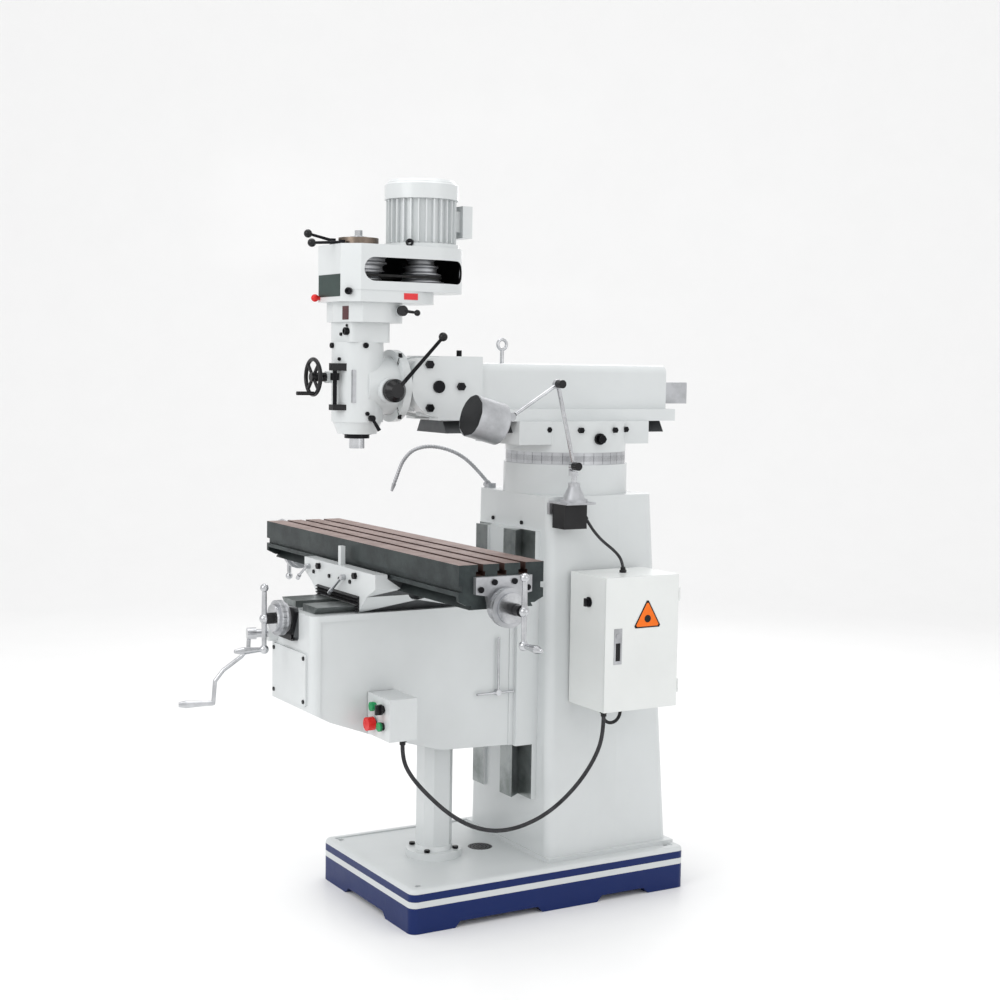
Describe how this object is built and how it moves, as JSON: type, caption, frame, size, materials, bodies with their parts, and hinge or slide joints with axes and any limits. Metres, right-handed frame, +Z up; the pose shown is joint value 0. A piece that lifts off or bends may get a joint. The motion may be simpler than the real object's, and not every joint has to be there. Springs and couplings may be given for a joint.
{
  "type": "vertical turret milling machine",
  "caption": "Knee-type vertical milling machine: tray base, column, knee, saddle and slotted table, with a swivelling turret, ram and tilting belt-driven head.",
  "frame": {"origin": "on the floor under the middle of the base, between the four anchor holes", "axes": "+X to the operator's right along the table, +Y from the operator towards the column, +Z up"},
  "size_m": [1.68, 1.624, 2.117],
  "materials": {
    "white_paint": "semi-gloss machine enamel, blue and white on the base",
    "machined_iron": "ground and scraped",
    "bright_steel": "turned and polished",
    "dark_steel": "black oxide",
    "black_plastic": "moulded",
    "black_rubber": "matt",
    "grey_plastic": "moulded",
    "green_plastic": "moulded",
    "red_plastic": "moulded"
  },
  "bodies": {
    "frame": {"base_casting": "white_paint", "column_casting": "white_paint", "elevating_pedestal": "machined_iron", "drain_screen": "bright_steel", "frame_bolts": "dark_steel", "cabinet_shell": "white_paint", "cabinet_fittings": "grey_plastic", "lamp_bracket": "white_paint", "coolant_hose": "black_plastic", "control_cable": "black_rubber", "lamp_cable": "black_rubber"},
    "door": {"cabinet_door": "white_paint"},
    "main_switch_body": {"main_switch": "black_plastic"},
    "turret": {"turret_casting": "white_paint"},
    "pinion": {"ram_pinion": "bright_steel"},
    "ram": {"ram_casting": "white_paint", "ram_adapter": "white_paint", "ram_fittings": "bright_steel"},
    "knuckle": {"nod_knuckle": "white_paint"},
    "head": {"head_casting": "white_paint", "gear_housing": "white_paint", "belt_housing": "white_paint", "motor": "white_paint", "drive_belt": "black_rubber", "depth_stop": "bright_steel"},
    "motor_shaft": {"motor_pulley": "machined_iron"},
    "driven_pulley": {"spindle_pulley": "machined_iron"},
    "quill_body": {"quill": "bright_steel"},
    "spindle_body": {"spindle": "bright_steel"},
    "feed_lever_body": {"feed_lever": "bright_steel"},
    "feed_wheel_body": {"fine_feed_wheel": "bright_steel"},
    "stop_nut_body": {"depth_stop_nut": "dark_steel"},
    "brake_body": {"brake_lever": "bright_steel"},
    "clutch_body": {"clutch_lever": "bright_steel"},
    "gear_lever_body": {"gear_lever": "bright_steel"},
    "quill_lock_body": {"quill_lock": "bright_steel"},
    "feed_knob_body": {"feed_knob": "red_plastic"},
    "lamp_swivel": {"lamp_stem": "bright_steel"},
    "lamp_arm_1": {"lamp_lower_arm": "bright_steel"},
    "lamp_arm_2": {"lamp_upper_arm": "bright_steel"},
    "lamp_shade": {"lamp_head": "white_paint"},
    "knee": {"knee_casting": "white_paint", "knee_fittings": "white_paint", "control_box": "white_paint"},
    "lift_screw": {"elevating_screw": "bright_steel"},
    "lift_shaft": {"knee_crank": "bright_steel"},
    "cross_screw": {"cross_crank": "bright_steel"},
    "saddle": {"saddle_casting": "machined_iron", "table_stop": "bright_steel", "way_cover": "black_rubber"},
    "table": {"table_casting": "machined_iron", "table_brackets": "white_paint"},
    "long_screw": {"long_crank": "bright_steel"},
    "table_lock_l": {"table_lock_left": "bright_steel"},
    "table_lock_r": {"table_lock_right": "bright_steel"},
    "knee_lock_body": {"knee_lock": "bright_steel"},
    "start": {"start_button": "green_plastic"},
    "coolant": {"coolant_button": "green_plastic"},
    "stop": {"stop_button": "red_plastic"},
    "direction": {"direction_switch": "black_plastic"}
  },
  "joints": [
    {"name": "knee_crank_turn", "type": "hinge", "parent": "knee", "child": "lift_shaft", "pos_m": [-0.12, -0.768, 0.812], "axis": [0.2232, 0.9748, 0], "range_deg": [-34020, 24660]},
    {"name": "knee_slide", "type": "slide", "parent": "frame", "child": "knee", "axis": [0, 0, -1], "range_m": [-0.235, 0.17], "deforming": ["control_cable"]},
    {"name": "lift_screw_turn", "type": "hinge", "parent": "knee", "child": "lift_screw", "pos_m": [0, -0.244, 0.812], "axis": [0, 0, 1], "continuous": true},
    {"name": "cross_crank_turn", "type": "hinge", "parent": "knee", "child": "cross_screw", "pos_m": [0, -0.75, 0.873], "axis": [0, 1, 0], "range_deg": [-9900, 12420]},
    {"name": "saddle_slide", "type": "slide", "parent": "knee", "child": "saddle", "axis": [0, 1, 0], "range_m": [-0.135, 0.17]},
    {"name": "long_crank_turn", "type": "hinge", "parent": "table", "child": "long_screw", "pos_m": [0.635, -0.396, 0.971], "axis": [1, 0, 0], "range_deg": [-27540, 27540]},
    {"name": "table_slide", "type": "slide", "parent": "saddle", "child": "table", "axis": [1, 0, 0], "range_m": [-0.38, 0.38]},
    {"name": "table_lock_left_turn", "type": "hinge", "parent": "saddle", "child": "table_lock_l", "pos_m": [-0.202, -0.575, 0.987], "axis": [0, 1, 0], "range_deg": [-30, 30]},
    {"name": "table_lock_right_turn", "type": "hinge", "parent": "saddle", "child": "table_lock_r", "pos_m": [0.044, -0.575, 0.984], "axis": [0, 1, 0], "range_deg": [-15, 30]},
    {"name": "knee_lock_turn", "type": "hinge", "parent": "knee", "child": "knee_lock_body", "pos_m": [0.15, -0.12, 0.632], "axis": [1, 0, 0], "range_deg": [-10, 40]},
    {"name": "start_press", "type": "slide", "parent": "knee", "child": "start", "axis": [0, 1, 0], "range_m": [0, 0.004], "stiffness_N_per_m": 400, "springref_m": -0.005},
    {"name": "coolant_press", "type": "slide", "parent": "knee", "child": "coolant", "axis": [0, 1, 0], "range_m": [0, 0.004], "stiffness_N_per_m": 400, "springref_m": -0.005},
    {"name": "stop_press", "type": "slide", "parent": "knee", "child": "stop", "axis": [0, 1, 0], "range_m": [0, 0.005]},
    {"name": "direction_turn", "type": "hinge", "parent": "knee", "child": "direction", "pos_m": [0.246, -0.56, 0.638], "axis": [0, 1, 0], "range_deg": [-45, 45]},
    {"name": "door_hinge", "type": "hinge", "parent": "frame", "child": "door", "pos_m": [0.4115, 0.3425, 0.795], "axis": [0, 0, 1], "range_deg": [0, 120]},
    {"name": "main_switch_turn", "type": "hinge", "parent": "frame", "child": "main_switch_body", "pos_m": [0.327, 0.07, 0.911], "axis": [0, 1, 0], "range_deg": [0, 90]},
    {"name": "lamp_swivel_turn", "type": "hinge", "parent": "frame", "child": "lamp_swivel", "pos_m": [0.27, 0.059, 1.24], "axis": [0, 0, 1], "range_deg": [-10, 110]},
    {"name": "lamp_joint_1", "type": "hinge", "parent": "lamp_swivel", "child": "lamp_arm_1", "pos_m": [0.27, 0.055, 1.303], "axis": [1, 0, 0], "range_deg": [-15, 35]},
    {"name": "lamp_joint_2", "type": "hinge", "parent": "lamp_arm_1", "child": "lamp_arm_2", "pos_m": [0.27, -0.005, 1.54], "axis": [1, 0, 0], "range_deg": [-40, 30]},
    {"name": "lamp_joint_3", "type": "hinge", "parent": "lamp_arm_2", "child": "lamp_shade", "pos_m": [0.27, -0.158, 1.446], "axis": [1, 0, 0], "range_deg": [-45, 30]},
    {"name": "turret_swivel", "type": "hinge", "parent": "frame", "child": "turret", "pos_m": [0, 0.2, 1.298], "axis": [0, 0, 1], "range_deg": [-90, 10]},
    {"name": "ram_slide", "type": "slide", "parent": "turret", "child": "ram", "axis": [0, 1, 0], "range_m": [-0.15, 0.2]},
    {"name": "ram_pinion_turn", "type": "hinge", "parent": "turret", "child": "pinion", "pos_m": [0, 0.2, 1.376], "axis": [1, 0, 0], "range_deg": [-720, 540]},
    {"name": "head_nod", "type": "hinge", "parent": "ram", "child": "knuckle", "pos_m": [0, -0.3, 1.527], "axis": [1, 0, 0], "range_deg": [-30, 38]},
    {"name": "head_tilt", "type": "hinge", "parent": "knuckle", "child": "head", "pos_m": [0, -0.397, 1.527], "axis": [0, 1, 0], "range_deg": [-90, 60]},
    {"name": "motor_spin", "type": "hinge", "parent": "head", "child": "motor_shaft", "pos_m": [0, -0.31, 1.85], "axis": [0, 0, 1], "continuous": true},
    {"name": "pulley_spin", "type": "hinge", "parent": "head", "child": "driven_pulley", "pos_m": [0, -0.51, 1.85], "axis": [0, 0, 1], "continuous": true},
    {"name": "spindle_spin", "type": "hinge", "parent": "quill_body", "child": "spindle_body", "pos_m": [0, -0.51, 1.45], "axis": [0, 0, 1], "continuous": true},
    {"name": "feed_lever_turn", "type": "hinge", "parent": "head", "child": "feed_lever_body", "pos_m": [0.1, -0.448, 1.515], "axis": [1, 0, 0], "range_deg": [-2, 384]},
    {"name": "quill_slide", "type": "slide", "parent": "head", "child": "quill_body", "axis": [0, 0, -1], "range_m": [0, 0.1267]},
    {"name": "fine_feed_turn", "type": "hinge", "parent": "head", "child": "feed_wheel_body", "pos_m": [-0.03, -0.6, 1.55], "axis": [0, 1, 0], "continuous": true},
    {"name": "stop_nut_slide", "type": "slide", "parent": "head", "child": "stop_nut_body", "axis": [0, 0, 1], "range_m": [-0.066, 0.006]},
    {"name": "brake_turn", "type": "hinge", "parent": "head", "child": "brake_body", "pos_m": [-0.035, -0.574, 1.93], "axis": [0, 0, 1], "range_deg": [-20, 20]},
    {"name": "clutch_turn", "type": "hinge", "parent": "head", "child": "clutch_body", "pos_m": [0.032, -0.576, 1.93], "axis": [0, 0, 1], "range_deg": [-20, 20]},
    {"name": "gear_lever_turn", "type": "hinge", "parent": "head", "child": "gear_lever_body", "pos_m": [0.1, -0.42, 1.74], "axis": [1, 0, 0], "range_deg": [-60, 18]},
    {"name": "quill_lock_turn", "type": "hinge", "parent": "head", "child": "quill_lock_body", "pos_m": [0.08, -0.502, 1.436], "axis": [1, 0, 0], "range_deg": [-40, 40]},
    {"name": "feed_knob_pull", "type": "slide", "parent": "head", "child": "feed_knob_body", "axis": [0, -1, 0], "range_m": [0, 0.008]}
  ],
  "couplings": [
    {"joint": "knee_crank_turn", "follows": "knee_slide", "rad_per_m": 2513.3},
    {"joint": "lift_screw_turn", "follows": "knee_slide", "rad_per_m": -1256.6},
    {"joint": "cross_crank_turn", "follows": "saddle_slide", "rad_per_m": 1256.6},
    {"joint": "long_crank_turn", "follows": "table_slide", "rad_per_m": 1256.6},
    {"joint": "ram_pinion_turn", "follows": "ram_slide", "rad_per_m": -62.5},
    {"joint": "feed_lever_turn", "follows": "quill_slide", "rad_per_m": 52.632},
    {"joint": "pulley_spin", "follows": "motor_spin", "ratio": 0.90625},
    {"joint": "spindle_spin", "follows": "motor_spin", "ratio": 0.90625}
  ]
}
